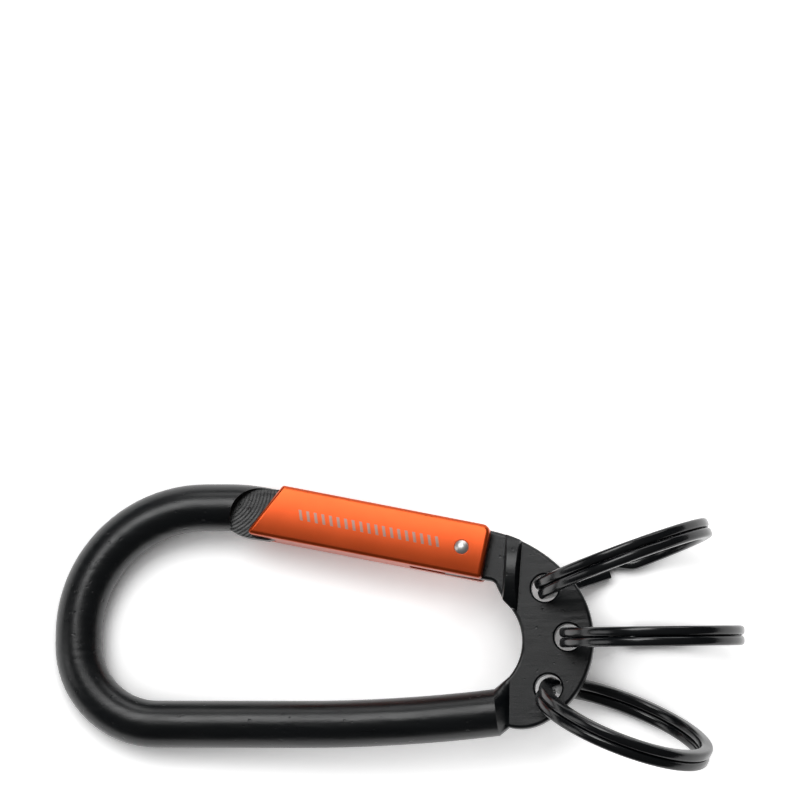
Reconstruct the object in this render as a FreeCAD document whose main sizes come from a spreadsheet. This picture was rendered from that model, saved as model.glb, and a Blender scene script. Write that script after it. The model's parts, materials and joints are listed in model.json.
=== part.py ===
"""Carabiner keyring: a D of bent round bar with a sprung gate, and three split rings in its pressed plate.

The flat of the D is modelled in its own plane: X along the spine towards the key rings, Y towards the gate, Z
normal to the plate, with the origin at the centre of the plate's outer arc. settle() then lays the whole keyring
on a surface: the big end of the D and the rims of the three rings touch it.
Lengths are millimetres and angles are degrees.
"""

import FreeCAD, Part
import math
import os
import re

import Sketcher
from FreeCAD import Placement, Rotation, Vector

SIZES = {
    # the round bar and its bent line
    "bar_radius": 3.5,
    "left_line": -62.83,
    "top_line": 19.78,
    "spine_line": -12.53,
    "big_bend": 18.8,
    "corner_bend": 11.85,
    "nose_bend": 29.4,
    "spine_bend": 240,
    "spine_bend_start": -29.8,
    "bar_end": -0.3,
    # the gate's hinge and its slope to the spine
    "pivot_x": -5.46,
    "pivot_y": 13.48,
    "gate_slope": 11,
    # the pressed flats
    "blank_thick": 2.4,
    "blank_edge": 0.5,
    "plate_radius": 14.0,
    "plate_end": 45,
    "shoulder_end": 1.6,
    "shoulder_lap": 0.05,
    "shoulder_inner": -5.3,
    "crown_radius": 22,
    "heel_radius": 7,
    "heel_start": 62,
    "inner_radius": 8.0,
    "inner_top_x": 0.6,
    "inner_top_y": 5.79,
    "throat_radius": 1.3,
    "throat_x": -0.45,
    "throat_y": 7.9,
    "tongue_top": 3.5,
    "tongue_crest": 3.6,
    "tongue_low": 3.8,
    "tongue_foot": 4.9,
    "tongue_heel": 1.9,
    "tongue_heel_low": 4.0,
    # the cam on the end of the hinge tongue
    "cam_root": 2.7,
    "cam_rise": 1.8,
    "cam_end": 56,
    "cam_arc": 3.34,
    "cam_notch": 20,
    # the rib left at full height between the hinge tongue and the plate
    "rib_x": 1.8,
    "rib_y": 10.2,
    "rib_foot": 2.45,
    "rib_top": 1.35,
    "rib_high": 3.4,
    "rib_long": 11.4,
    "rib_lean": 3.5,
    # the pressed nose
    "nose_end": 28.5,
    "nose_root": 35.4,
    "nose_root_top": 1.5,
    "nose_root_low": 2.0,
    "nose_belly_start_x": -35.2,
    "nose_belly_start_y": -3.5,
    "nose_belly_end_x": -31.6,
    "nose_belly_end_y": -4.45,
    "nose_belly": 7.1,
    "nose_brow_x": -28.2,
    "nose_brow_y": 3.6,
    "nose_tip_top": 2.9,
    "nose_tip_low": -4.3,
    "nose_flat_x": -30.35,
    "nose_flat_y": -1.4,
    "nose_flat": 4.65,
    "nose_flat_run": 4.0,
    "nose_gap": 0.15,
    # the gate
    "gate_high": 8.0,
    "gate_thick": 8.0,
    "gate_tail": 3.65,
    "gate_reach": 29.95,
    "gate_slant": 2.0,
    "gate_edge": 0.55,
    "gate_tail_corner": 1.2,
    "gate_corner": 0.5,
    "slot_wide": 3.0,
    "hinge_cutter": 9.0,
    "hinge_cutter_x": 1.6,
    "hinge_cutter_y": -4.5,
    "hinge_slot": 3.9,
    "nose_cutter": 10.3,
    "nose_cutter_x": -32.9,
    "nose_cutter_y": 5.0,
    "spring_bore": 1.3,
    "spring_bore_end": 18.6,
    # the rivet
    "rivet_radius": 1.05,
    "rivet_dome": 0.4,
    "rivet_sink": 0.1,
    "rivet_play": 0.05,
    # the plunger and its spring
    "plunger_radius": 1.2,
    "plunger_long": 5.5,
    "plunger_tip": 0.15,
    "plunger_play": 0.05,
    "spring_radius": 0.95,
    "spring_wire": 0.2,
    "spring_pitch": 0.9,
    "spring_play": 0.05,
    # the key rings and their holes
    "hole_radius": 2.03,
    "hole_chamfer": 0.25,
    "hole_circle": 10.2,
    "hole_step": 46.4,
    "hole_turn": 2.4,
    "ring_radius": 13.65,
    "ring_band": 1.95,
    "ring_coil": 1.475,
    "ring_round": 0.6,
    "ring_groove": 0.16,
    # the way it rests
    "rest_tilt": 5.4,
    # how far a cutter starts outside what it cuts
    "cutter_start": 1.0,
}

# name, position in the fan, sweep in the plate's plane, lean from the plate's normal
RINGS = (
    ("split_ring_top", 1, 20.5, 3.4),
    ("split_ring_middle", 0, 0.8, 4.9),
    ("split_ring_bottom", -1, -22.6, 16.3),
)

# the smallest change of volume, in cubic millimetres, that counts as a cut or a pad
LEAST_CHANGE = 0.05
# lengths this near each other are the same
CLOSE = 1e-4

doc = FreeCAD.newDocument("CarabinerKeyring")
sheet = doc.addObject("Spreadsheet::Sheet", "Sizes")


def fill_sheet():
    """One row per driving size: its name, and its value under an alias of the same name."""
    for row, (name, value) in enumerate(SIZES.items(), start=1):
        sheet.set(f"A{row}", name)
        sheet.set(f"B{row}", str(value))
        sheet.setAlias(f"B{row}", name)
    doc.recompute()


def bind(text):
    """The expression with every size's name spelled as the sheet's own cell."""
    return re.sub(r"[a-z_]+", lambda m: f"Sizes.{m[0]}" if m[0] in SIZES else m[0], text)


def value(text):
    """What an expression in the sheet's sizes comes to, as a plain number."""
    result = sheet.evalExpression(bind(text))
    return float(getattr(result, "Value", result))


def on_gate(along, across):
    """Expressions for a point given along the gate from its hinge towards the plate, and across it outwards."""
    x = f"pivot_x + ({along}) * cos(gate_slope) + ({across}) * sin(gate_slope)"
    y = f"pivot_y - ({along}) * sin(gate_slope) + ({across}) * cos(gate_slope)"
    return x, y


def polar(radius, angle):
    """Expressions for a point at a radius and an angle from the origin."""
    return f"({radius}) * cos({angle})", f"({radius}) * sin({angle})"


def new_body(label):
    body = doc.addObject("PartDesign::Body", label)
    body.Label = label
    return body


def new_sketch(body, name, plane="XY_Plane", offset=None, axis=Vector(0, 0, 1), turn=None):
    """A sketch on one of the body's own origin planes, moved by offset and turned about an axis of that plane."""
    sketch = body.newObject("Sketcher::SketchObject", f"{body.Label}_{name}")
    features = body.Origin.OriginFeatures
    sketch.AttachmentSupport = [(next(f for f in features if f.Role == plane), "")]
    sketch.MapMode = "FlatFace"
    offset = offset or ("0", "0", "0")
    base = Vector(*(value(part) for part in offset))
    angle = value(turn) if turn else 0.0
    sketch.AttachmentOffset = Placement(base, Rotation(axis, angle))
    for letter, part in zip("xyz", offset):
        if part != "0":
            sketch.setExpression(f"AttachmentOffset.Base.{letter}", bind(part))
    if turn:
        sketch.setExpression("AttachmentOffset.Rotation.Angle", bind(turn))
    return sketch


def fix(sketch, geometry, point, corner):
    """Holds a point of the sketch at two expressions."""
    for kind, text in zip(("DistanceX", "DistanceY"), corner):
        number = sketch.addConstraint(Sketcher.Constraint(kind, -1, 1, geometry, point, value(text)))
        sketch.setExpression(f"Constraints[{number}]", bind(text))


def arc_between(start, end, radius):
    """The shorter arc from start to end, turning left if radius is positive and right if it is negative."""
    chord = end - start
    half = chord.Length / 2
    side = Vector(-chord.y, chord.x, 0).normalize() * math.copysign(1, radius)
    centre = start + chord / 2 + side * math.sqrt(radius * radius - half * half)
    first, last = (start, end) if radius > 0 else (end, start)
    circle = Part.Circle(centre, Vector(0, 0, 1), abs(radius))
    return Part.ArcOfCircle(circle, circle.parameter(first), circle.parameter(last))


def trace(sketch, corners, arcs=None, closed=True):
    """Draws a chain of lines through the corners. arcs gives the radius of the arc that leaves a corner instead of
    a line, negative where it turns right. Every corner and radius is bound to the sheet."""
    arcs = arcs or {}
    points = [Vector(value(x), value(y), 0) for x, y in corners]
    count = len(points) if closed else len(points) - 1
    ends = []
    for i in range(count):
        start, end = points[i], points[(i + 1) % len(points)]
        if i in arcs:
            radius = value(arcs[i])
            number = sketch.addGeometry(arc_between(start, end, radius), False)
            ends.append((number, 1, 2) if radius > 0 else (number, 2, 1))
            rule = sketch.addConstraint(Sketcher.Constraint("Radius", number, abs(radius)))
            sketch.setExpression(f"Constraints[{rule}]", bind(arcs[i].lstrip("-")))
        else:
            number = sketch.addGeometry(Part.LineSegment(start, end), False)
            ends.append((number, 1, 2))
    for i in range(count if closed else count - 1):
        here, after = ends[i], ends[(i + 1) % count]
        sketch.addConstraint(Sketcher.Constraint("Coincident", here[0], here[2], after[0], after[1]))
    for i in range(count):
        fix(sketch, ends[i][0], ends[i][1], corners[i])
    if not closed:
        fix(sketch, ends[-1][0], ends[-1][2], corners[-1])


def circle(sketch, corner, radius):
    """A circle with its centre and radius bound to the sheet."""
    centre = Vector(value(corner[0]), value(corner[1]), 0)
    number = sketch.addGeometry(Part.Circle(centre, Vector(0, 0, 1), value(radius)), False)
    rule = sketch.addConstraint(Sketcher.Constraint("Radius", number, value(radius)))
    sketch.setExpression(f"Constraints[{rule}]", bind(radius))
    fix(sketch, number, 3, corner)


def feature(body, kind, name, profile, **settings):
    """A PartDesign feature on a sketch. A setting given as text is an expression in the sheet's sizes."""
    made = body.newObject(f"PartDesign::{kind}", f"{body.Label}_{name}")
    made.Profile = profile
    for key, setting in settings.items():
        if isinstance(setting, str) and key != "Type":
            made.setExpression(key, bind(setting))
        else:
            setattr(made, key, setting)
    doc.recompute()
    return made


def slab(body, name, sketch, thick):
    """A pad to both sides of its sketch, which has to add material."""
    before = body.Tip.Shape.Volume if body.Tip else 0.0
    made = feature(body, "Pad", name, sketch, Length=thick, Midplane=True)
    if made.Shape.Volume - before < LEAST_CHANGE:
        raise SystemExit(f"{made.Name} adds nothing")


def cut(body, name, sketch, **settings):
    """A pocket, which has to take material away."""
    before = body.Tip.Shape.Volume
    made = feature(body, "Pocket", name, sketch, **settings)
    if before - made.Shape.Volume < LEAST_CHANGE:
        raise SystemExit(f"{made.Name} cuts nothing")


def dress(body, kind, name, size, chosen):
    """A fillet or chamfer on the edges of the body so far that chosen() accepts."""
    base = body.Tip
    names = [f"Edge{i}" for i, edge in enumerate(base.Shape.Edges, start=1) if chosen(edge)]
    made = body.newObject(f"PartDesign::{kind}", f"{body.Label}_{name}")
    made.Base = (base, names)
    made.setExpression("Radius" if kind == "Fillet" else "Size", bind(size))
    doc.recompute()
    return made


def middle(edge):
    return edge.valueAt((edge.FirstParameter + edge.LastParameter) / 2)


def is_flat(edge):
    """True for an edge that lies in one plane of constant Z."""
    box = edge.BoundBox
    return box.ZMax - box.ZMin < CLOSE


def is_upright(edge):
    """True for a straight edge along Z."""
    box = edge.BoundBox
    return box.XMax - box.XMin < CLOSE and box.YMax - box.YMin < CLOSE


def rounded(edge, radius):
    """True for an edge of a round hole of that radius."""
    return is_flat(edge) and edge.isClosed() and abs(edge.Length - 2 * math.pi * value(radius)) < CLOSE


def both_faces(body, name, corners, arcs, level, top, turn=None):
    """Cuts an outline from above and from below, down to the levels +level and -level. With a turn, the outline
    is given from the gate's hinge."""
    x, y = ("pivot_x", "pivot_y") if turn else ("0", "0")
    for side, sign in (("over", ""), ("under", "-")):
        sketch = new_sketch(body, f"{name}_{side}", offset=(x, y, f"{sign}({top})"), turn=turn)
        trace(sketch, corners, arcs)
        cut(body, f"{name}_cut_{side}", sketch, Length=f"{top} - ({level})", Reversed=bool(sign))


# ---------------------------------------------------------------------------------------------------------------
# the frame


SPINE_RISE = "(spine_bend - sqrt(spine_bend^2 - (bar_end - spine_bend_start)^2))"
KNEE_X = "(pivot_x - (top_line - pivot_y) / tan(gate_slope))"
KNEE_RUN = "(nose_bend * tan(gate_slope / 2))"
HEEL_X = "((plate_radius - heel_radius) * cos(heel_start))"
HEEL_LOW = (
    "(-(plate_radius - heel_radius) * sin(heel_start)"
    f" - sqrt(heel_radius^2 - (shoulder_end - {HEEL_X})^2))"
)


def press_blank(body):
    """The pressed plate, the rib's foot and the hinge tongue, as one flat outline with rounded edges."""
    corners = [
        ("shoulder_end", HEEL_LOW),
        polar("plate_radius", "-heel_start"),
        polar("plate_radius", "plate_end"),
        on_gate("tongue_crest", "tongue_top"),
        on_gate("0", "tongue_top"),
        on_gate(*polar("tongue_top", "180 - cam_notch")),
        on_gate("-cam_root", "0"),
        on_gate(*polar("cam_root + cam_rise * cam_end * pi / 180", "180 + cam_end")),
        on_gate("-tongue_heel", "-tongue_heel_low"),
        on_gate("tongue_foot", "-tongue_low"),
        ("throat_x", "throat_y"),
        ("inner_top_x", "inner_top_y"),
        ("shoulder_end", "shoulder_inner"),
    ]
    arcs = {
        0: "heel_radius",
        1: "plate_radius",
        2: "crown_radius",
        4: "tongue_top",
        6: "cam_arc",
        9: "-throat_radius",
        11: "-inner_radius",
    }
    sketch = new_sketch(body, "blank")
    trace(sketch, corners, arcs)
    slab(body, "blank_pad", sketch, "blank_thick")
    tongue_x = value(on_gate("tongue_top", "0")[0])
    step_x = value("shoulder_end")
    dress(
        body, "Fillet", "blank_edges", "blank_edge",
        lambda e: is_flat(e) and middle(e).x > tongue_x and abs(middle(e).x - step_x) > CLOSE,
    )


def stand_rib(body):
    """The slice of bar left at full height between hinge tongue and plate: drafted walls and a crowned top."""
    half = "rib_long / 2"
    start = (f"rib_x + {half} * tan(rib_lean)", "0", f"-rib_y - {half}")
    section = new_sketch(body, "rib", "XZ_Plane", start, Vector(0, 1, 0), "-rib_lean")
    foot, top = "rib_foot / 2", "rib_top / 2"
    waist = "blank_thick / 2"
    corners = [
        (f"-{foot}", f"-{waist}"),
        (f"-{top}", "-rib_high"),
        (top, "-rib_high"),
        (foot, f"-{waist}"),
        (foot, waist),
        (top, "rib_high"),
        (f"-{top}", "rib_high"),
        (f"-{foot}", waist),
    ]
    trace(section, corners)
    feature(body, "Pad", "rib_pad", section, Length="rib_long")


def crown_rib(body):
    """Rounds the rib's top over from end to end, and takes off what would hang over the inside of the D."""
    half = "rib_long / 2"
    rise = "(rib_high - blank_thick / 2)"
    radius = f"((rib_long^2 / 4 + {rise}^2) / (2 * {rise}))"
    for side, sign, turn in (("over", "", "-"), ("under", "-", "")):
        sketch = new_sketch(body, f"crown_{side}", "YZ_Plane", ("rib_y", "0", "rib_x + rib_foot"))
        corners = [
            (half, f"{sign}blank_thick / 2"),
            (half, f"{sign}(rib_high + cutter_start)"),
            (f"-{half}", f"{sign}(rib_high + cutter_start)"),
            (f"-{half}", f"{sign}blank_thick / 2"),
            ("0", f"{sign}rib_high"),
        ]
        trace(sketch, corners, {3: f"{turn}{radius}", 4: f"{turn}{radius}"})
        cut(body, f"crown_cut_{side}", sketch, Length="rib_foot * 2")


def trim_rib(body):
    """Cuts the rib back to the blank's outline, at the inside of the D and at the crown by the gate."""
    inside = [
        ("throat_x", "throat_y"),
        ("inner_top_x", "inner_top_y"),
        ("shoulder_end", "shoulder_inner"),
        ("throat_x - rib_foot", "shoulder_inner"),
        ("throat_x - rib_foot", "throat_y"),
    ]
    crest_x, crest_y = on_gate("tongue_crest", "tongue_top")
    rim_x, rim_y = polar("plate_radius", "plate_end")
    outside = [(rim_x, rim_y), (crest_x, crest_y), (crest_x, "rib_y + rib_long"), (rim_x, "rib_y + rib_long")]
    for name, corners, arcs in (
        ("inside", inside, {1: "-inner_radius"}),
        ("outside", outside, {0: "crown_radius"}),
    ):
        sketch = new_sketch(body, f"trim_{name}")
        trace(sketch, corners, arcs)
        cut(body, f"trim_{name}_cut", sketch, Length="(rib_high + cutter_start) * 2", Midplane=True)


def bend_bar(body):
    """The round bar, from the nose round the big end and along the spine to the shoulder of the plate."""
    path = new_sketch(body, "bar_path")
    corners = [
        on_gate("-nose_end", "0"),
        (f"{KNEE_X} + {KNEE_RUN} * cos(gate_slope)", f"top_line - {KNEE_RUN} * sin(gate_slope)"),
        (f"{KNEE_X} - {KNEE_RUN}", "top_line"),
        ("left_line + big_bend", "top_line"),
        ("left_line", "top_line - big_bend"),
        ("left_line", "spine_line + corner_bend"),
        ("left_line + corner_bend", "spine_line"),
        ("spine_bend_start", "spine_line"),
        ("bar_end", f"spine_line + {SPINE_RISE}"),
    ]
    trace(path, corners, {1: "nose_bend", 3: "big_bend", 5: "corner_bend", 7: "spine_bend"}, closed=False)
    end = (f"spine_line + {SPINE_RISE}", "0", "bar_end")
    turn = "asin((bar_end - spine_bend_start) / spine_bend)"
    section = new_sketch(body, "bar_section", "YZ_Plane", end, Vector(0, 1, 0), turn)
    circle(section, ("0", "0"), "bar_radius")
    doc.recompute()
    pipe = feature(body, "AdditivePipe", "bar", section)
    pipe.Spine = (path, [f"Edge{i + 1}" for i in range(len(path.Shape.Edges))])
    doc.recompute()
    return section


def blend_shoulder(body, section):
    """The step where the round bar is pressed down to the plate."""
    low, high = f"{HEEL_LOW} + shoulder_lap", "shoulder_inner - shoulder_lap"
    waist, soft = "blank_thick / 2", "blank_edge"
    corners = [
        (low, f"-({waist} - {soft})"),
        (f"{low} + {soft}", f"-{waist}"),
        (f"{high} - {soft}", f"-{waist}"),
        (high, f"-({waist} - {soft})"),
        (high, f"{waist} - {soft}"),
        (f"{high} - {soft}", waist),
        (f"{low} + {soft}", waist),
        (low, f"{waist} - {soft}"),
    ]
    sketch = new_sketch(body, "shoulder", "YZ_Plane", ("0", "0", "shoulder_end"))
    trace(sketch, corners, {0: soft, 2: soft, 4: soft, 6: soft})
    doc.recompute()
    loft = feature(body, "AdditiveLoft", "shoulder_loft", section)
    loft.Sections = [sketch]
    doc.recompute()


def press_nose(body):
    """The tongue that the gate closes over, with its tip cut to the arc of the gate's slot."""
    tip = "(nose_cutter - nose_gap)"
    corners = [
        ("-nose_root", "-nose_root_low"),
        ("nose_belly_start_x", "nose_belly_start_y"),
        ("nose_belly_end_x", "nose_belly_end_y"),
        (f"nose_cutter_x + sqrt({tip}^2 - (nose_tip_low - nose_cutter_y)^2)", "nose_tip_low"),
        (f"nose_cutter_x + sqrt({tip}^2 - (nose_tip_top - nose_cutter_y)^2)", "nose_tip_top"),
        ("nose_brow_x", "nose_brow_y"),
        ("-nose_root", "nose_root_top"),
    ]
    sketch = new_sketch(body, "nose", offset=("pivot_x", "pivot_y", "0"), turn="-gate_slope")
    trace(sketch, corners, {1: "nose_belly", 3: tip})
    slab(body, "nose_pad", sketch, "blank_thick")
    left, right = "nose_flat_x", "nose_flat_x + nose_flat_run"
    top, low = "nose_flat_y + nose_flat", "nose_flat_y - nose_flat"
    flat = [(left, top), (f"{left} - nose_flat", "nose_flat_y"), (left, low), (right, low), (right, top)]
    arcs = {0: "nose_flat", 1: "nose_flat"}
    both_faces(body, "nose_flat", flat, arcs, "blank_thick / 2", "bar_radius + cutter_start", "-gate_slope")


def drill_frame(body):
    """The rivet's bore in the hinge tongue, and the chamfered key-ring holes."""
    bore = new_sketch(body, "rivet_bore")
    circle(bore, ("pivot_x", "pivot_y"), "rivet_radius + rivet_play")
    cut(body, "rivet_bore_cut", bore, Length="blank_thick * 2", Midplane=True)
    holes = new_sketch(body, "key_holes")
    for _, place, _, _ in RINGS:
        circle(holes, polar("hole_circle", f"hole_turn + ({place}) * hole_step"), "hole_radius")
    cut(body, "key_holes_cut", holes, Length="blank_thick * 2", Midplane=True)
    dress(body, "Chamfer", "key_hole_rims", "hole_chamfer", lambda e: rounded(e, "hole_radius"))


def make_frame():
    body = new_body("frame")
    press_blank(body)
    stand_rib(body)
    crown_rib(body)
    trim_rib(body)
    section = bend_bar(body)
    blend_shoulder(body, section)
    press_nose(body)
    drill_frame(body)
    return body


# ---------------------------------------------------------------------------------------------------------------
# the gate and what is in it; these are modelled from the hinge, with X along the gate towards the plate


def make_gate():
    body = new_body("gate")
    half = "gate_high / 2"
    corners = [
        ("-gate_reach - gate_slant", f"-{half}"),
        ("gate_tail", f"-{half}"),
        ("gate_tail", half),
        ("-gate_reach + gate_slant", half),
    ]
    sketch = new_sketch(body, "outline")
    trace(sketch, corners)
    slab(body, "bar", sketch, "gate_thick")
    tail = value("gate_tail")
    dress(
        body, "Fillet", "tail_corner", "gate_tail_corner",
        lambda e: is_upright(e) and middle(e).x > tail - CLOSE and middle(e).y > 0,
    )
    dress(body, "Fillet", "corners", "gate_corner", lambda e: is_upright(e) and not near_tail(e, tail))
    dress(body, "Fillet", "edges", "gate_edge", is_flat)
    cut_slots(body)
    drill_gate(body)
    return body


def near_tail(edge, tail):
    """True for the upright edges that the tail's own round corner left."""
    spot = middle(edge)
    return spot.y > 0 and spot.x > tail - value("gate_tail_corner") - CLOSE


def cut_slots(body):
    """The nose slot and the hinge slot, each cut by a disc, the hinge slot with a straight run to the end."""
    nose = new_sketch(body, "nose_slot")
    circle(nose, ("nose_cutter_x", "nose_cutter_y"), "nose_cutter")
    cut(body, "nose_slot_cut", nose, Length="slot_wide", Midplane=True)
    hinge = new_sketch(body, "hinge_slot")
    circle(hinge, ("hinge_cutter_x", "hinge_cutter_y"), "hinge_cutter")
    cut(body, "hinge_slot_cut", hinge, Length="slot_wide", Midplane=True)
    run = new_sketch(body, "hinge_run")
    corners = [
        ("-hinge_slot", "-gate_high / 2 - cutter_start"),
        ("gate_tail + cutter_start", "-gate_high / 2 - cutter_start"),
        ("gate_tail + cutter_start", "gate_high / 2 + cutter_start"),
        ("-hinge_slot", "gate_high / 2 + cutter_start"),
    ]
    trace(run, corners)
    cut(body, "hinge_run_cut", run, Length="slot_wide", Midplane=True)


def drill_gate(body):
    """The blind bore for the spring, and the rivet's bore through both ears with its sunk rims."""
    bore = new_sketch(body, "spring_bore", "YZ_Plane", ("0", "0", "-hinge_slot"))
    circle(bore, ("0", "0"), "spring_bore")
    cut(body, "spring_bore_cut", bore, Length="spring_bore_end - hinge_slot")
    rivet = new_sketch(body, "rivet_bore")
    circle(rivet, ("0", "0"), "rivet_radius")
    cut(body, "rivet_bore_cut", rivet, Length="gate_thick * 2", Midplane=True)
    face = value("gate_thick / 2")
    dress(
        body, "Chamfer", "rivet_rims", "rivet_sink",
        lambda e: rounded(e, "rivet_radius") and abs(abs(middle(e).z) - face) < CLOSE,
    )


def make_rivet():
    """A plain pin with a low dome on each end."""
    body = new_body("gate_rivet")
    face = "(gate_thick / 2 - rivet_sink)"
    dome = "((rivet_radius^2 + rivet_dome^2) / (2 * rivet_dome))"
    corners = [
        ("0", f"-{face} - rivet_dome"),
        ("rivet_radius", f"-{face}"),
        ("rivet_radius", face),
        ("0", f"{face} + rivet_dome"),
    ]
    sketch = new_sketch(body, "profile", "XZ_Plane")
    trace(sketch, corners, {0: dome, 2: dome})
    spin(body, sketch)
    return body


def spin(body, sketch):
    """Revolves a profile a full turn about the sketch's own upright axis."""
    turned = body.newObject("PartDesign::Revolution", f"{body.Label}_turned")
    turned.Profile = sketch
    turned.ReferenceAxis = (sketch, ["V_Axis"])
    turned.Angle = 360
    doc.recompute()


def make_plunger():
    """A pin with a pointed tip, lying along X with the tip towards the cam."""
    body = new_body("gate_plunger")
    tip = "-cam_root - plunger_play"
    corners = [
        (f"{tip} - plunger_long", "0"),
        (f"{tip} - plunger_long", "plunger_radius"),
        (f"{tip} - (plunger_radius - plunger_tip)", "plunger_radius"),
        (tip, "plunger_tip"),
        (tip, "0"),
    ]
    sketch = new_sketch(body, "profile")
    trace(sketch, corners)
    turned = body.newObject("PartDesign::Revolution", "gate_plunger_turned")
    turned.Profile = sketch
    turned.ReferenceAxis = (sketch, ["H_Axis"])
    turned.Angle = 360
    doc.recompute()
    return body


def make_spring():
    """The coil spring between the plunger and the blind end of its bore."""
    wire = doc.addObject("Part::Helix", "gate_spring_line")
    wire.setExpression("Radius", bind("spring_radius"))
    wire.setExpression("Pitch", bind("spring_pitch"))
    room = "spring_bore_end - cam_root - plunger_play - plunger_long - 2 * (spring_wire + spring_play)"
    wire.setExpression("Height", bind(room))
    section = doc.addObject("Part::Circle", "gate_spring_section")
    section.setExpression("Radius", bind("spring_wire"))
    section.Placement = Placement(Vector(value("spring_radius"), 0, 0), Rotation(Vector(1, 0, 0), 90))
    section.setExpression("Placement.Base.x", bind("spring_radius"))
    doc.recompute()
    spring = doc.addObject("Part::Sweep", "gate_spring")
    spring.Label = "gate_spring"
    spring.Sections = [section]
    spring.Spine = (wire, [f"Edge{i + 1}" for i in range(len(wire.Shape.Edges))])
    spring.Solid = True
    spring.Frenet = True
    doc.recompute()
    return spring


def make_ring(label):
    """A key ring: two flat coils side by side with a groove between them, turned about Z."""
    body = new_body(label)
    inner = "(ring_radius - ring_band)"
    corners = [
        (f"{inner} + ring_round", "-ring_coil"),
        ("ring_radius - ring_round", "-ring_coil"),
        ("ring_radius", "-ring_coil + ring_round"),
        ("ring_radius", "-ring_groove"),
        ("ring_radius - ring_groove", "0"),
        ("ring_radius", "ring_groove"),
        ("ring_radius", "ring_coil - ring_round"),
        ("ring_radius - ring_round", "ring_coil"),
        (f"{inner} + ring_round", "ring_coil"),
        (inner, "ring_coil - ring_round"),
        (inner, "ring_groove"),
        (f"{inner} + ring_groove", "0"),
        (inner, "-ring_groove"),
        (inner, "-ring_coil + ring_round"),
    ]
    sketch = new_sketch(body, "profile", "XZ_Plane")
    trace(sketch, corners, {1: "ring_round", 6: "ring_round", 8: "ring_round", 13: "ring_round"})
    spin(body, sketch)
    return body


# ---------------------------------------------------------------------------------------------------------------
# placing


def stance_height():
    """How high the plate's centre stands when the big end of the D touches the surface."""
    return value("bar_radius - left_line * sin(rest_tilt)")


def ring_place(place, sweep, lean):
    """A ring in its hole, turned about it until its rim is level with the foot of the big end.

    The wire's centre line passes through the hole's centre. The ring's plane holds its sweep direction and an
    upright that leans from the plate's normal."""
    hole = Vector(*(value(part) for part in polar("hole_circle", f"hole_turn + ({place}) * hole_step")), 0)
    way = math.radians(sweep)
    tip = math.radians(lean)
    out = Vector(math.cos(way), math.sin(way), 0)
    side = Vector(-math.sin(way), math.cos(way), 0)
    up = Vector(0, 0, 1) * math.cos(tip) - side * math.sin(tip)
    axle = side * math.cos(tip) + Vector(0, 0, 1) * math.sin(tip)
    tilt = Rotation(Vector(0, 1, 0), -value("rest_tilt"))
    soft = value("ring_round")
    level = abs(tilt.multVec(axle).z)
    rim = value("ring_radius") - soft
    needed = rim * math.sqrt(1 - level * level) + (value("ring_coil") - soft) * level + soft
    drop = needed - stance_height() - tilt.multVec(hole).z
    line = value("ring_radius - ring_band / 2")
    rise_out, rise_up = tilt.multVec(out).z, tilt.multVec(up).z
    reach = math.hypot(rise_out, rise_up)
    swing = math.asin(drop / (line * reach)) - math.atan2(rise_out, rise_up)
    spoke = out * math.cos(swing) + up * math.sin(swing)
    centre = hole + spoke * line
    print(f"ring {place}: centre {tuple(round(c, 3) for c in centre)}, turned {math.degrees(swing):.2f} in its hole")
    return Placement(centre, Rotation(spoke * -1, axle.cross(spoke * -1), axle, "ZXY"))


def settle(parts):
    """Tilts the keyring so that it rests on its big end and its rings, with the origin below its middle."""
    tilt = Placement(Vector(0, 0, 0), Rotation(Vector(0, 1, 0), -value("rest_tilt")))
    for part in parts:
        part.Placement = tilt.multiply(part.Placement)
    doc.recompute()
    box = FreeCAD.BoundBox()
    for part in parts:
        box.add(part.Shape.optimalBoundingBox(False, False))
    shift = Vector(-(box.XMin + box.XMax) / 2, -(box.YMin + box.YMax) / 2, stance_height())
    print("size", [round(length, 3) for length in (box.XLength, box.YLength, box.ZMax + shift.z)])
    print("plate's centre at", [round(c, 4) for c in shift])
    for part in parts:
        place = part.Placement
        part.Placement = Placement(place.Base + shift, place.Rotation)
    doc.recompute()


def check(parts):
    """Stops if a feature failed or a piece isn't one valid solid."""
    for item in doc.Objects:
        if {"Invalid", "Error"} & set(item.State):
            raise SystemExit(f"{item.Name} failed: {item.State}")
    for part in parts:
        shape = part.Shape
        if shape.isNull() or not shape.isValid() or len(shape.Solids) != 1:
            raise SystemExit(f"{part.Label} isn't one valid solid")
        print(f"{part.Label}: {shape.Volume:.1f} mm3")


def main():
    fill_sheet()
    frame = make_frame()
    hinge = Placement(
        Vector(value("pivot_x"), value("pivot_y"), 0), Rotation(Vector(0, 0, 1), -value("gate_slope"))
    )
    gate, rivet, plunger, spring = make_gate(), make_rivet(), make_plunger(), make_spring()
    for part in (gate, rivet, plunger):
        part.Placement = hinge
    foot = Vector(-value("spring_bore_end - spring_wire - spring_play"), 0, 0)
    spring.Placement = hinge.multiply(Placement(foot, Rotation(Vector(0, 1, 0), 90)))
    rings = []
    for label, place, sweep, lean in RINGS:
        ring = make_ring(label)
        ring.Placement = ring_place(place, sweep, lean)
        rings.append(ring)
    parts = [frame, gate, rivet, plunger, spring, *rings]
    settle(parts)
    check(parts)
    os.makedirs("parts", exist_ok=True)
    for part in parts:
        part.Shape.exportStep(f"parts/{part.Label}.step")


main()
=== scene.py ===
"""The carabiner keyring as it lies on a pale floor.

The CAD nodes get their looks here, and the split rings are wound again as flat wire. Everything is
in metres in the CAD's own frame. MM turns millimetres into metres.
"""

import json
import math

import bmesh
import bpy
import numpy as np
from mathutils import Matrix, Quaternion, Vector


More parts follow.
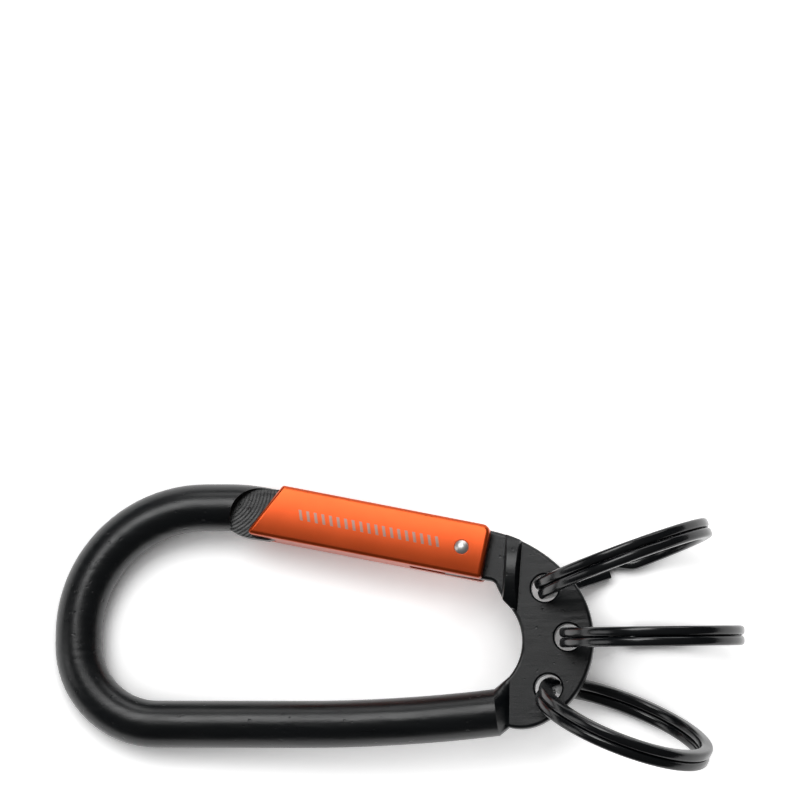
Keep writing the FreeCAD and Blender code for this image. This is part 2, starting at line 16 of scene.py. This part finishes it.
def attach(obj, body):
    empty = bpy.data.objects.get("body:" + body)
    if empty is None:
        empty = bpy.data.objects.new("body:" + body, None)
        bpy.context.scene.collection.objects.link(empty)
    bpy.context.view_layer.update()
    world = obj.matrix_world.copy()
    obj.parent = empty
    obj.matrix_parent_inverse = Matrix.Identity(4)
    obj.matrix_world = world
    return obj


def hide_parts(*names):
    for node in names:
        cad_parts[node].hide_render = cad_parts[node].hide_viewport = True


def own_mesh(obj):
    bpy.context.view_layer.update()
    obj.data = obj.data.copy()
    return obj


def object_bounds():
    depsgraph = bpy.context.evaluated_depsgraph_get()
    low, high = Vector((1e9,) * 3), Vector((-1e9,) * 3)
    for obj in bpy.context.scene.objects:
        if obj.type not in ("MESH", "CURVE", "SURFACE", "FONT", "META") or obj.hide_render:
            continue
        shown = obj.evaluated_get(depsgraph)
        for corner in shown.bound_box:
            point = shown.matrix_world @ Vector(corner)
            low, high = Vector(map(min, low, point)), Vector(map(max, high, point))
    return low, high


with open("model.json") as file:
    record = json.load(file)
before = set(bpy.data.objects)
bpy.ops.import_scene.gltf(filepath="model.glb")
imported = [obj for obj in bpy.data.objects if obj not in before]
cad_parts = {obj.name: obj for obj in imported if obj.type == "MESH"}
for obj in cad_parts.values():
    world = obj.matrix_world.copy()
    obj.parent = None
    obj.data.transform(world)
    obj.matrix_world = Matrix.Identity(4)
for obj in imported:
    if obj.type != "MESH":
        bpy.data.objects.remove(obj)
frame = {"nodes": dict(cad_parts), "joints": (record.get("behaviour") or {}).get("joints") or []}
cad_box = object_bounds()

MM = 0.001

# CAD faces that meet at more than this look like an edge
CAD_CREASE = math.radians(32)

# the split rings: the flat wire's corners, the gap between its coils, the ramp where they cross
WIRE_ROUND = 0.5 * MM
WIRE_GAP = 0.03 * MM
WIRE_CREASE = math.radians(40)
RAMP = math.radians(20)
STEPS_PER_TURN = 150
STEPS_PER_CORNER = 5
# how a ring is measured: rounds of the fit, and the share of its reach from which a point is rim
FIT_ROUNDS = 3
RIM_SHARE = 0.97
# node: the body it rides on, and the middle of its ramp, turned from the top away from the plate
RINGS = {
    "split_ring_top": ("ring_top", math.radians(179)),
    "split_ring_middle": ("ring_middle", math.radians(200)),
    "split_ring_bottom": ("ring_bottom", math.radians(240)),
}

# half the thickness of the frame's pressed flats, and a hair more
BLANK_HALF = 1.25 * MM

# the gate: half its thickness, the crown of its faces, and the row of bars etched on them
GATE_HALF = 4.0 * MM
CROWN_DROP = 0.24 * MM
BARS_START = -24.6 * MM
BAR_STEP = 1.15 * MM
BAR_SHARE = 0.4
BAR_COUNT = 19
BAR_TALL = 1.5 * MM
BAR_SLANT = 0.35
BARS_ACROSS = 0.1 * MM
ETCH_DEPTH = 0.05 * MM

# the cutter's arcs in the pressed nose: their middle from the hinge, their reach and their pitch
NOSE_ALONG = -38.0 * MM
NOSE_ACROSS = 2.0 * MM
NOSE_REACH = 11.0 * MM
NOSE_PITCH = 0.5 * MM

# the floor: half its side, how far cover for its painted shadow reaches, how open a spot is where
# its glow starts and where it is full, and the full glow; the dimmed glow is a painted shadow
FLOOR_HALF = 3.0
PAINTED_SHADOW_REACH = 16 * MM
PAINTED_SHADOW_DARK_BELOW = 0.38
PAINTED_SHADOW_CLEAR_ABOVE = 0.8
GLOW = 0.8

# name: place, what it faces, width and height in metres, power in watts
SOFTBOXES = {
    "overhead": ((-0.22, 0.34, 0.8), (0, 0, 0), (0.55, 0.4), 4.0),
    "back": ((0.15, 0.9, 0.45), (0, 0, 0.01), (0.9, 0.35), 2.6),
    "left": ((-0.9, -0.1, 0.35), (0, 0, 0.01), (0.3, 0.5), 0.8),
}
# the studio air: strength near the horizon and overhead, and the heights of direction between them
AIR_LOW, AIR_HIGH = 0.04, 0.12
AIR_FROM, AIR_TO = 0.1, 0.95

# the camera, from the front, a little short of straight down and not quite level
VIEW_ELEVATION = math.radians(83)
VIEW_ROLL = math.radians(0.52)
VIEW_WIDTH = 117.94 * MM
VIEW_CENTRE_ABOVE = 33.23 * MM
VIEW_CENTRE_RIGHT = -0.08 * MM
LENS = 300.0
SENSOR = 36.0


# --------------------------------------------------------------------------------------------------
# materials


class Nodes:
    """A new material's node tree, with short calls to add and join nodes."""

    def __init__(self, name):
        self.material = bpy.data.materials.new(name)
        self.material.use_nodes = True
        self.tree = self.material.node_tree
        self.shader = self.tree.nodes["Principled BSDF"]

    def set(self, **settings):
        for name, setting in settings.items():
            self.shader.inputs[name.replace("_", " ")].default_value = setting

    def add(self, kind, **settings):
        node = self.tree.nodes.new(kind)
        for name, setting in settings.items():
            setattr(node, name, setting)
        return node

    def join(self, source, target):
        self.tree.links.new(source, target)

    def place(self, scale=(1, 1, 1), turn=(0, 0, 0)):
        """Coordinates fixed to the object, in metres, scaled and turned."""
        coordinates = self.add("ShaderNodeTexCoord")
        mapping = self.add("ShaderNodeMapping")
        mapping.inputs["Scale"].default_value = scale
        mapping.inputs["Rotation"].default_value = turn
        self.join(coordinates.outputs["Object"], mapping.inputs["Vector"])
        return mapping.outputs["Vector"]

    def measure(self, direction, origin):
        """How far, in metres, a point of the object is from an origin along a direction."""
        dot = self.add("ShaderNodeVectorMath", operation="DOT_PRODUCT")
        dot.inputs[1].default_value = direction
        self.join(self.place(), dot.inputs[0])
        return self.math("SUBTRACT", dot.outputs["Value"], origin.dot(direction))

    def noise(self, scale, detail=2.0, rough=0.5, vector=None):
        noise = self.add("ShaderNodeTexNoise")
        noise.inputs["Scale"].default_value = scale
        noise.inputs["Detail"].default_value = detail
        noise.inputs["Roughness"].default_value = rough
        self.join(vector or self.place(), noise.inputs["Vector"])
        return noise.outputs["Fac"]

    def remap(self, value, low, high, to_low=0.0, to_high=1.0):
        node = self.add("ShaderNodeMapRange")
        ends = {"From Min": low, "From Max": high, "To Min": to_low, "To Max": to_high}
        for name, number in ends.items():
            node.inputs[name].default_value = number
        self.join(value, node.inputs["Value"])
        return node.outputs["Result"]

    def math(self, operation, a, b=None):
        node = self.add("ShaderNodeMath", operation=operation)
        for slot, operand in zip(node.inputs, (a, b)):
            if isinstance(operand, (int, float)):
                slot.default_value = operand
            elif operand is not None:
                self.join(operand, slot)
        return node.outputs["Value"]

    def mix(self, factor, a, b):
        """A colour between a and b."""
        node = self.add("ShaderNodeMix", data_type="RGBA")
        self.join(factor, node.inputs["Factor"])
        for slot, colour in ((node.inputs[6], a), (node.inputs[7], b)):
            if isinstance(colour, tuple):
                slot.default_value = (*colour, 1.0)
            else:
                self.join(colour, slot)
        return node.outputs[2]

    def colour(self, source):
        self.join(source, self.shader.inputs["Base Color"])

    def bump(self, *layers):
        """Bumps on top of one another, each a height and what one unit of it is in metres."""
        normal = None
        for height, depth in layers:
            bump = self.add("ShaderNodeBump")
            bump.inputs["Strength"].default_value = 1.0
            bump.inputs["Distance"].default_value = depth
            self.join(height, bump.inputs["Height"])
            if normal:
                self.join(normal, bump.inputs["Normal"])
            normal = bump.outputs["Normal"]
        self.join(normal, self.shader.inputs["Normal"])


def joint(name):
    return next(joint for joint in frame["joints"] if joint["name"] == name)


# the plate's own axes in the row frame: the gate's hinge is along its normal
PIVOT = Vector(joint("gate_hinge")["pos_m"])
PLATE_Z = Vector(joint("gate_hinge")["axis"]).normalized()
PLATE_X = Vector((0, 1, 0)).cross(PLATE_Z)
PLATE_TILT = math.atan2(PLATE_X.z, PLATE_X.x)
# along the gate towards its hinge, and across it towards the outside of the D
GATE_X = -Vector(joint("plunger_slide")["axis"]).normalized()
GATE_Y = PLATE_Z.cross(GATE_X)


def drawn_noise(nodes, scale, stretch, turn):
    """Noise drawn out along a line in the plate's plane, for brushed and scratched metal."""
    vector = nodes.place(stretch, (0, PLATE_TILT, turn))
    return nodes.noise(scale, detail=3.0, rough=0.6, vector=vector)


def black_anodised():
    """Black anodised aluminium: fine grain, faint marks, dents, chatter and the cutter's arcs."""
    nodes = Nodes("black_anodised")
    nodes.set(Metallic=0.0, Specular_IOR_Level=0.45)
    cloud = nodes.remap(nodes.noise(90.0, 3.0), 0.35, 0.65)
    nodes.colour(nodes.mix(cloud, (0.0012, 0.0019, 0.0026), (0.0026, 0.0036, 0.0046)))
    grain = nodes.noise(5200.0, 2.0)
    drawn = drawn_noise(nodes, 700.0, (0.12, 1.6, 1.6), math.radians(-3))
    dents = nodes.remap(nodes.noise(1100.0, 1.0), 0.70, 0.76)
    wave = ripples(nodes)
    patches = nodes.remap(nodes.noise(130.0, 1.0), 0.5, 0.62)
    chatter = nodes.math("MULTIPLY", wave, patches)
    nodes.bump(
        (grain, 0.012 * MM),
        (drawn, 0.016 * MM),
        (dents, -0.03 * MM),
        (chatter, 0.012 * MM),
        (nose_arcs(nodes), 0.006 * MM),
    )
    nodes.join(nodes.remap(drawn, 0.3, 0.7, 0.27, 0.38), nodes.shader.inputs["Roughness"])
    return nodes.material


def ripples(nodes):
    """The fine chatter marks that the press left across the plate."""
    wave = nodes.add("ShaderNodeTexWave", wave_type="BANDS", bands_direction="Y")
    settings = {"Scale": 260.0, "Distortion": 3.0, "Detail": 2.0, "Detail Scale": 1.5}
    for name, number in settings.items():
        wave.inputs[name].default_value = number
    nodes.join(nodes.place(), wave.inputs["Vector"])
    return wave.outputs["Fac"]


def nose_arcs(nodes):
    """The cutter's fine arcs round a point of the pressed nose, and nothing farther out."""
    along = nodes.math("SUBTRACT", nodes.measure(GATE_X, PIVOT), NOSE_ALONG)
    across = nodes.math("SUBTRACT", nodes.measure(GATE_Y, PIVOT), NOSE_ACROSS)
    squares = [nodes.math("MULTIPLY", side, side) for side in (along, across)]
    reach = nodes.math("SQRT", nodes.math("ADD", *squares))
    level = nodes.math("ABSOLUTE", nodes.measure(PLATE_Z, PIVOT))
    wave = nodes.math("SINE", nodes.math("MULTIPLY", reach, 2 * math.pi / NOSE_PITCH))
    within = nodes.math("LESS_THAN", reach, NOSE_REACH)
    on_flat = nodes.math("LESS_THAN", level, BLANK_HALF)
    return nodes.math("MULTIPLY", wave, nodes.math("MULTIPLY", within, on_flat))


def orange_anodised():
    """Satin orange anodised aluminium, slightly crowned across, with a row of etched bars."""
    nodes = Nodes("orange_anodised")
    nodes.set(Metallic=0.75, Roughness=0.3, Specular_IOR_Level=0.4)
    cloud = nodes.remap(nodes.noise(160.0, 3.0), 0.3, 0.7)
    dye = nodes.mix(cloud, (0.52, 0.068, 0.012), (0.59, 0.080, 0.015))
    along, across = nodes.measure(GATE_X, PIVOT), nodes.measure(GATE_Y, PIVOT)
    etched = etched_bars(nodes, along, across)
    nodes.colour(nodes.mix(etched, dye, (0.28, 0.165, 0.13)))
    squared = nodes.math("MULTIPLY", across, across)
    crown = nodes.math("MULTIPLY", squared, -CROWN_DROP / GATE_HALF**2)
    grain = nodes.noise(4200.0, 2.0)
    nodes.bump((grain, 0.007 * MM), (etched, -0.02 * MM), (crown, 1.0))
    return nodes.material


def etched_bars(nodes, along, across):
    """1 inside a row of plain slanted bars on the gate's faces, 0 elsewhere."""
    level = nodes.math("ABSOLUTE", nodes.measure(PLATE_Z, PIVOT))
    on_face = nodes.math("GREATER_THAN", level, GATE_HALF - ETCH_DEPTH)
    slanted = nodes.math("ADD", along, nodes.math("MULTIPLY", across, BAR_SLANT))
    steps = nodes.math("DIVIDE", nodes.math("SUBTRACT", slanted, BARS_START), BAR_STEP)
    phase = nodes.math("FRACT", steps)
    in_bar = nodes.math("LESS_THAN", phase, BAR_SHARE)
    off_line = nodes.math("ABSOLUTE", nodes.math("SUBTRACT", across, BARS_ACROSS))
    in_row = nodes.math("LESS_THAN", off_line, BAR_TALL / 2)
    started = nodes.math("GREATER_THAN", slanted, BARS_START)
    ended = nodes.math("LESS_THAN", slanted, BARS_START + BAR_COUNT * BAR_STEP)
    inside = on_face
    for test in (in_bar, in_row, started, ended):
        inside = nodes.math("MULTIPLY", inside, test)
    return inside


def bright_steel():
    """Plain bright steel of the rivet, the plunger and the spring."""
    nodes = Nodes("bright_steel")
    nodes.set(Metallic=1.0, Roughness=0.42)
    cloud = nodes.remap(nodes.noise(900.0, 3.0), 0.3, 0.7)
    nodes.colour(nodes.mix(cloud, (0.74, 0.73, 0.71), (0.86, 0.85, 0.83)))
    nodes.bump((nodes.noise(2600.0, 3.0), 0.01 * MM))
    return nodes.material


def gloss_black():
    """Black-plated spring wire: glossy, with faint drawing marks."""
    nodes = Nodes("gloss_black")
    nodes.set(Metallic=0.0, Roughness=0.2, Specular_IOR_Level=0.55)
    cloud = nodes.remap(nodes.noise(140.0, 3.0), 0.35, 0.65)
    nodes.colour(nodes.mix(cloud, (0.0012, 0.0018, 0.0026), (0.0026, 0.0034, 0.0044)))
    nodes.bump((nodes.noise(650.0, 2.0), 0.02 * MM), (nodes.noise(160.0, 1.0), 0.12 * MM))
    return nodes.material


# --------------------------------------------------------------------------------------------------
# the CAD nodes


def dress(node, material):
    """Gives a CAD node its material, and smooth shading where its faces meet at a small angle."""
    piece = frame["nodes"][node]
    piece.data.materials.clear()
    piece.data.materials.append(material)
    piece.data.shade_smooth()
    piece.data.set_sharp_from_angle(angle=CAD_CREASE)


# --------------------------------------------------------------------------------------------------
# the split rings


class RingShape:
    """Centre, directions and sizes of a split ring, measured from its CAD node.

    The axle is the direction in which the mesh spreads least, and the centre is that of a circle
    fitted to the rim."""

    def __init__(self, node):
        mesh = frame["nodes"][node].data
        points = np.empty(len(mesh.vertices) * 3)
        mesh.vertices.foreach_get("co", points)
        points = points.reshape(-1, 3)
        middle = (points.min(0) + points.max(0)) / 2
        for _ in range(FIT_ROUNDS):
            directions = np.linalg.eigh(np.cov((points - middle).T))[1]
            axle = directions[:, 0] * np.sign(directions[1, 0])
            flat = (points - middle) - np.outer((points - middle) @ axle, axle)
            reach = np.linalg.norm(flat, axis=1)
            rim = flat[reach > reach.max() * RIM_SHARE]
            system = np.c_[2 * rim, np.ones(len(rim))]
            fit = np.linalg.lstsq(system, (rim**2).sum(1), rcond=None)[0][:3]
            along = (points - middle) @ axle
            middle = middle + (fit - (fit @ axle) * axle) + axle * (along.min() + along.max()) / 2
        away = points - middle
        along = away @ axle
        across = np.linalg.norm(away - np.outer(along, axle), axis=1)
        self.centre, self.axle = Vector(middle), Vector(axle)
        self.outer, self.inner, self.half = across.max(), across.min(), abs(along).max()
        self.up = (Vector((0, 0, 1)) - self.axle * self.axle.z).normalized()
        self.out = self.axle.cross(self.up)

    def at(self, turn, radius, level):
        """A point at a turn from the ring's top, a radius, and a level along the axle."""
        spoke = self.up * math.cos(turn) + self.out * math.sin(turn)
        return self.centre + spoke * radius + self.axle * level


def wire_section(wide, thick, corner):
    """The flat wire's rounded section, as (across, along the axle) about its own middle."""
    points = []
    for quarter, (sx, sy) in enumerate(((1, 1), (-1, 1), (-1, -1), (1, -1))):
        for step in range(STEPS_PER_CORNER):
            angle = math.pi / 2 * (quarter + step / (STEPS_PER_CORNER - 1))
            across = sx * (wide / 2 - corner) + corner * math.cos(angle)
            level = sy * (thick / 2 - corner) + corner * math.sin(angle)
            points.append((across, level))
    return points


def wind_ring(node, body, ramp_middle, material):
    """Two turns of flat wire that cross over on a short ramp, with a square-cut end each side."""
    ring = RingShape(node)
    thick = ring.half - WIRE_GAP / 2
    level = ring.half - thick / 2
    radius = (ring.outer + ring.inner) / 2
    section = wire_section(ring.outer - ring.inner, thick, WIRE_ROUND)
    start = ramp_middle + RAMP / 2
    full = 4 * math.pi - RAMP
    cross = 2 * math.pi - RAMP
    count = STEPS_PER_TURN * 2
    mesh = bmesh.new()
    rows = []
    for i in range(count + 1):
        travelled = full * i / count
        done = min(max((travelled - cross) / RAMP, 0.0), 1.0)
        height = level * (2 * done * done * (3 - 2 * done) - 1)
        turn = start + travelled
        rows.append([mesh.verts.new(ring.at(turn, radius + a, height + b)) for a, b in section])
    for here, after in zip(rows, rows[1:]):
        for j in range(len(section)):
            k = (j + 1) % len(section)
            mesh.faces.new((here[j], here[k], after[k], after[j]))
    mesh.faces.new(rows[0][::-1])
    mesh.faces.new(rows[-1])
    bmesh.ops.recalc_face_normals(mesh, faces=mesh.faces)
    data = bpy.data.meshes.new(f"{node}_wire")
    mesh.to_mesh(data)
    mesh.free()
    data.materials.append(material)
    data.shade_smooth()
    data.set_sharp_from_angle(angle=WIRE_CREASE)
    piece = bpy.data.objects.new(f"{node}_wire", data)
    bpy.context.scene.collection.objects.link(piece)
    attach(piece, body)
    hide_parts(node)


# --------------------------------------------------------------------------------------------------
# the stage


def lay_floor():
    """A wide, pale, matt light table under the keyring; its glow fails where covered, a painted
    shadow.
    """
    nodes = Nodes("floor")
    nodes.set(Roughness=0.9, Specular_IOR_Level=0.1, Emission_Color=(1, 1, 1, 1))
    # ambient occlusion dims the glow: a painted shadow under and round the keyring and in its holes
    painted_shadow_cover = nodes.add("ShaderNodeAmbientOcclusion", samples=8)
    painted_shadow_cover.inputs["Distance"].default_value = PAINTED_SHADOW_REACH
    glow_with_painted_shadow = nodes.remap(painted_shadow_cover.outputs["AO"], PAINTED_SHADOW_DARK_BELOW, PAINTED_SHADOW_CLEAR_ABOVE, 0.0, GLOW)
    nodes.join(glow_with_painted_shadow, nodes.shader.inputs["Emission Strength"])
    nodes.colour(nodes.mix(nodes.noise(40.0), (0.93, 0.93, 0.93), (0.95, 0.95, 0.95)))
    data = bpy.data.meshes.new("floor")
    corners = [(x * FLOOR_HALF, y * FLOOR_HALF, 0) for x, y in ((-1, -1), (1, -1), (1, 1), (-1, 1))]
    data.from_pydata(corners, [], [(0, 1, 2, 3)])
    data.materials.append(nodes.material)
    floor = bpy.data.objects.new("floor", data)
    bpy.context.scene.collection.objects.link(floor)


def softbox(name, place, aim, size, power):
    """A rectangular area light at a place, turned to face another."""
    data = bpy.data.lights.new(name, "AREA")
    data.shape = "RECTANGLE"
    data.size, data.size_y = size
    data.energy = power
    lamp = bpy.data.objects.new(name, data)
    lamp.location = place
    lamp.rotation_euler = (Vector(aim) - Vector(place)).to_track_quat("-Z", "Y").to_euler()
    bpy.context.scene.collection.objects.link(lamp)


def light_stage():
    """Hangs the softboxes and lights the air."""
    for name, settings in SOFTBOXES.items():
        softbox(name, *settings)
    bpy.context.scene.world = studio_air()


def studio_air():
    """Soft light from all round, brighter overhead than near the horizon."""
    world = bpy.data.worlds.new("studio")
    world.use_nodes = True
    tree = world.node_tree
    direction = tree.nodes.new("ShaderNodeTexCoord")
    split = tree.nodes.new("ShaderNodeSeparateXYZ")
    height = tree.nodes.new("ShaderNodeMapRange")
    ends = {"From Min": AIR_FROM, "From Max": AIR_TO, "To Min": AIR_LOW, "To Max": AIR_HIGH}
    for name, number in ends.items():
        height.inputs[name].default_value = number
    background = tree.nodes["Background"]
    background.inputs["Color"].default_value = (1, 1, 1, 1)
    tree.links.new(direction.outputs["Generated"], split.inputs["Vector"])
    tree.links.new(split.outputs["Z"], height.inputs["Value"])
    tree.links.new(height.outputs["Result"], background.inputs["Strength"])
    return world


def place_camera():
    """Looks down from a little in front at a point behind the keyring, through a long lens."""
    data = bpy.data.cameras.new("camera")
    data.lens = LENS
    data.sensor_width = SENSOR
    camera = bpy.data.objects.new("camera", data)
    back = Vector((0, -math.cos(VIEW_ELEVATION), math.sin(VIEW_ELEVATION)))
    up = Vector((0, math.sin(VIEW_ELEVATION), math.cos(VIEW_ELEVATION)))
    aim = Vector((VIEW_CENTRE_RIGHT, 0, cad_box[1].z / 2)) + up * VIEW_CENTRE_ABOVE
    distance = VIEW_WIDTH * LENS / SENSOR
    camera.location = aim + back * distance
    level = (-back).to_track_quat("-Z", "Y")
    camera.rotation_euler = (level @ Quaternion((0, 0, 1), VIEW_ROLL)).to_euler()
    bpy.context.scene.collection.objects.link(camera)
    bpy.context.scene.camera = camera


def main():
    bpy.context.scene.view_settings.view_transform = "Standard"
    black, orange, steel, gloss = black_anodised(), orange_anodised(), bright_steel(), gloss_black()
    dress("frame", black)
    dress("gate", orange)
    for node in ("gate_rivet", "gate_plunger", "gate_spring"):
        dress(node, steel)
    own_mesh(frame["nodes"]["gate_spring"])
    for node, (body, ramp_middle) in RINGS.items():
        wind_ring(node, body, ramp_middle, gloss)
    lay_floor()
    light_stage()
    place_camera()


main()
